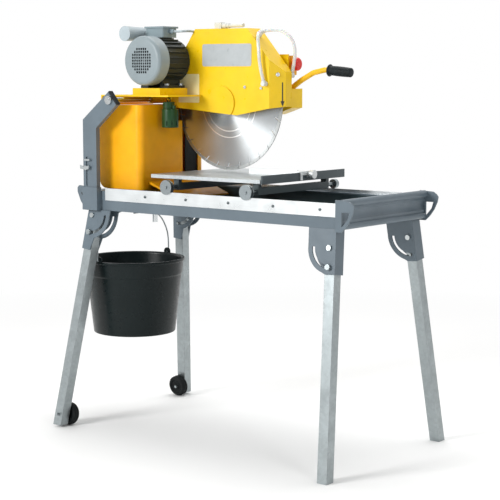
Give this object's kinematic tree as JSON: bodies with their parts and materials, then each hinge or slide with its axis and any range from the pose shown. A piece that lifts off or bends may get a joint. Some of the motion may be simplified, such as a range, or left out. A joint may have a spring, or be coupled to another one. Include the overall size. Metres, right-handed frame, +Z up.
{
  "type": "wet tile saw table",
  "caption": "Wet table saw for tiles and stone: swing-head diamond blade over a rolling table and water pan, on four folding legs with two wheels and a hanging bucket.",
  "frame": {"origin": "on the floor, under the middle of the bounding box", "axes": "+X along the table towards the operator's end, +Y across it to the far side, +Z up"},
  "size_m": [1.2599, 0.6998, 1.379],
  "materials": {
    "frame_paint": "satin",
    "bright_strip": "satin",
    "zinc": "satin",
    "pan_paint": "satin",
    "hood_plastic": "satin",
    "yellow_paint": "gloss",
    "rubber": "matte",
    "grip": "matte",
    "black_plastic": "matte",
    "chrome": "polished",
    "cast_pulley": "matte",
    "motor_paint": "satin",
    "fan_cover_paint": "satin",
    "box_paint": "satin",
    "fitting_plastic": "gloss",
    "clear_hose": "gloss",
    "grey_lead": "satin",
    "switch_yellow": "satin",
    "red_plastic": "gloss",
    "blade_steel": "satin",
    "pump_plastic": "satin",
    "stop_plate": "satin",
    "bucket_plastic": "matte"
  },
  "bodies": {
    "frame": {"side_rails": "frame_paint", "runner_strips": "bright_strip", "runner_screws": "zinc", "rear_cross_member": "frame_paint", "end_trough": "frame_paint", "carry_lugs": "frame_paint", "water_pan": "pan_paint", "drain_pipe": "zinc", "splash_hood": "hood_plastic", "rubber_flap": "rubber", "column_posts": "frame_paint", "column_sleeves": "frame_paint", "height_clamps": "zinc", "leg_brackets": "frame_paint", "leg_pivot_bolts": "zinc", "bucket_hook": "frame_paint"},
    "column_unit": {"columns": "frame_paint", "column_caps": "black_plastic", "pivot_shaft": "chrome"},
    "saw_head": {"head_arm": "yellow_paint", "belt_cover": "yellow_paint", "motor_plate": "yellow_paint", "motor_housing": "motor_paint", "fan_cover": "fan_cover_paint", "terminal_box": "box_paint", "capacitor": "box_paint", "head_screws": "zinc", "blade_guard": "yellow_paint", "water_fittings": "fitting_plastic", "near_hose": "clear_hose", "far_hose": "clear_hose", "motor_lead": "grey_lead", "switch_box": "switch_yellow", "handle_tube": "yellow_paint", "handle_grip": "grip", "drive_belt": "rubber", "spindle_bearings": "chrome"},
    "motor_rotor": {"motor_shaft": "chrome", "cooling_fan": "black_plastic", "drive_pulley": "cast_pulley"},
    "blade_unit": {"saw_blade": "blade_steel", "blade_flanges": "zinc", "blade_spindle": "chrome", "driven_pulley": "cast_pulley"},
    "stop_button": {"stop_button": "red_plastic"},
    "water_pump": {"water_pump": "pump_plastic"},
    "carriage": {"table_top": "zinc", "carriage_frame": "pan_paint", "fence_bar": "pan_paint"},
    "parallel_stop": {"parallel_stop": "stop_plate"},
    "left_wheelset": {"left_wheelset": "chrome"},
    "right_wheelset": {"right_wheelset": "chrome"},
    "near_right_leg": {"near_right_leg": "zinc"},
    "far_right_leg": {"far_right_leg": "zinc"},
    "near_left_leg": {"near_left_leg": "zinc"},
    "far_left_leg": {"far_left_leg": "zinc"},
    "near_wheel": {"near_wheel": "rubber"},
    "far_wheel": {"far_wheel": "rubber"},
    "bucket_bail": {"bucket_bail": "chrome"},
    "bucket": {"bucket": "bucket_plastic"}
  },
  "joints": [
    {"name": "height_slide", "type": "slide", "parent": "frame", "child": "column_unit", "axis": [0, 0, 1], "range_m": [0, 0.055]},
    {"name": "head_swing", "type": "hinge", "parent": "column_unit", "child": "saw_head", "pos_m": [-0.347, 0, 1.122], "axis": [0, 1, 0], "range_deg": [-20, 4]},
    {"name": "blade_spin", "type": "hinge", "parent": "saw_head", "child": "blade_unit", "pos_m": [-0.065, 0.033, 1.112], "axis": [0, 1, 0], "continuous": true},
    {"name": "motor_spin", "type": "hinge", "parent": "saw_head", "child": "motor_rotor", "pos_m": [-0.271, 0, 1.252], "axis": [0, 1, 0], "continuous": true},
    {"name": "stop_press", "type": "slide", "parent": "saw_head", "child": "stop_button", "axis": [-1, 0, 0], "range_m": [0, 0.004], "stiffness_N_per_m": 800},
    {"name": "pump_swing", "type": "hinge", "parent": "saw_head", "child": "water_pump", "pos_m": [-0.226, -0.091, 1.1235], "axis": [0, 1, 0], "range_deg": [-4, 20]},
    {"name": "table_slide", "type": "slide", "parent": "frame", "child": "carriage", "axis": [1, 0, 0], "range_m": [-0.055, 0.308]},
    {"name": "fence_slide", "type": "slide", "parent": "carriage", "child": "parallel_stop", "axis": [0, 1, 0], "range_m": [-0.15, 0.03]},
    {"name": "left_roll", "type": "hinge", "parent": "carriage", "child": "left_wheelset", "pos_m": [-0.107, 0, 0.8419], "axis": [0, 1, 0], "continuous": true},
    {"name": "right_roll", "type": "hinge", "parent": "carriage", "child": "right_wheelset", "pos_m": [0.224, 0, 0.8419], "axis": [0, 1, 0], "continuous": true},
    {"name": "near_right_fold", "type": "hinge", "parent": "frame", "child": "near_right_leg", "pos_m": [0.544, -0.219, 0.69], "axis": [0, 0.9893, -0.1461], "range_deg": [0, 84]},
    {"name": "far_right_fold", "type": "hinge", "parent": "frame", "child": "far_right_leg", "pos_m": [0.544, 0.219, 0.69], "axis": [0, 0.9893, 0.1461], "range_deg": [0, 84]},
    {"name": "near_left_fold", "type": "hinge", "parent": "frame", "child": "near_left_leg", "pos_m": [-0.443, -0.219, 0.728], "axis": [0, 0.9893, -0.1461], "range_deg": [-92, 0]},
    {"name": "far_left_fold", "type": "hinge", "parent": "frame", "child": "far_left_leg", "pos_m": [-0.443, 0.219, 0.728], "axis": [0, 0.9893, 0.1461], "range_deg": [-92, 0]},
    {"name": "near_wheel_roll", "type": "hinge", "parent": "near_left_leg", "child": "near_wheel", "pos_m": [-0.52302, -0.28589, 0.03882], "axis": [0, 0.9893, -0.1461], "continuous": true},
    {"name": "far_wheel_roll", "type": "hinge", "parent": "far_left_leg", "child": "far_wheel", "pos_m": [-0.52302, 0.28589, 0.03882], "axis": [0, 0.9893, 0.1461], "continuous": true},
    {"name": "bail_swing", "type": "hinge", "parent": "frame", "child": "bucket_bail", "pos_m": [-0.451, -0.028, 0.7292], "axis": [1, 0, 0], "range_deg": [0, 10]},
    {"name": "bucket_tilt", "type": "hinge", "parent": "bucket_bail", "child": "bucket", "pos_m": [-0.451, -0.028, 0.57], "axis": [0, 1, 0], "range_deg": [-10, 10]}
  ],
  "couplings": [
    {"joint": "motor_spin", "follows": "blade_spin", "ratio": 1.2353},
    {"joint": "pump_swing", "follows": "head_swing", "ratio": -1},
    {"joint": "left_roll", "follows": "table_slide", "rad_per_m": 64.103},
    {"joint": "right_roll", "follows": "table_slide", "rad_per_m": 64.103}
  ]
}
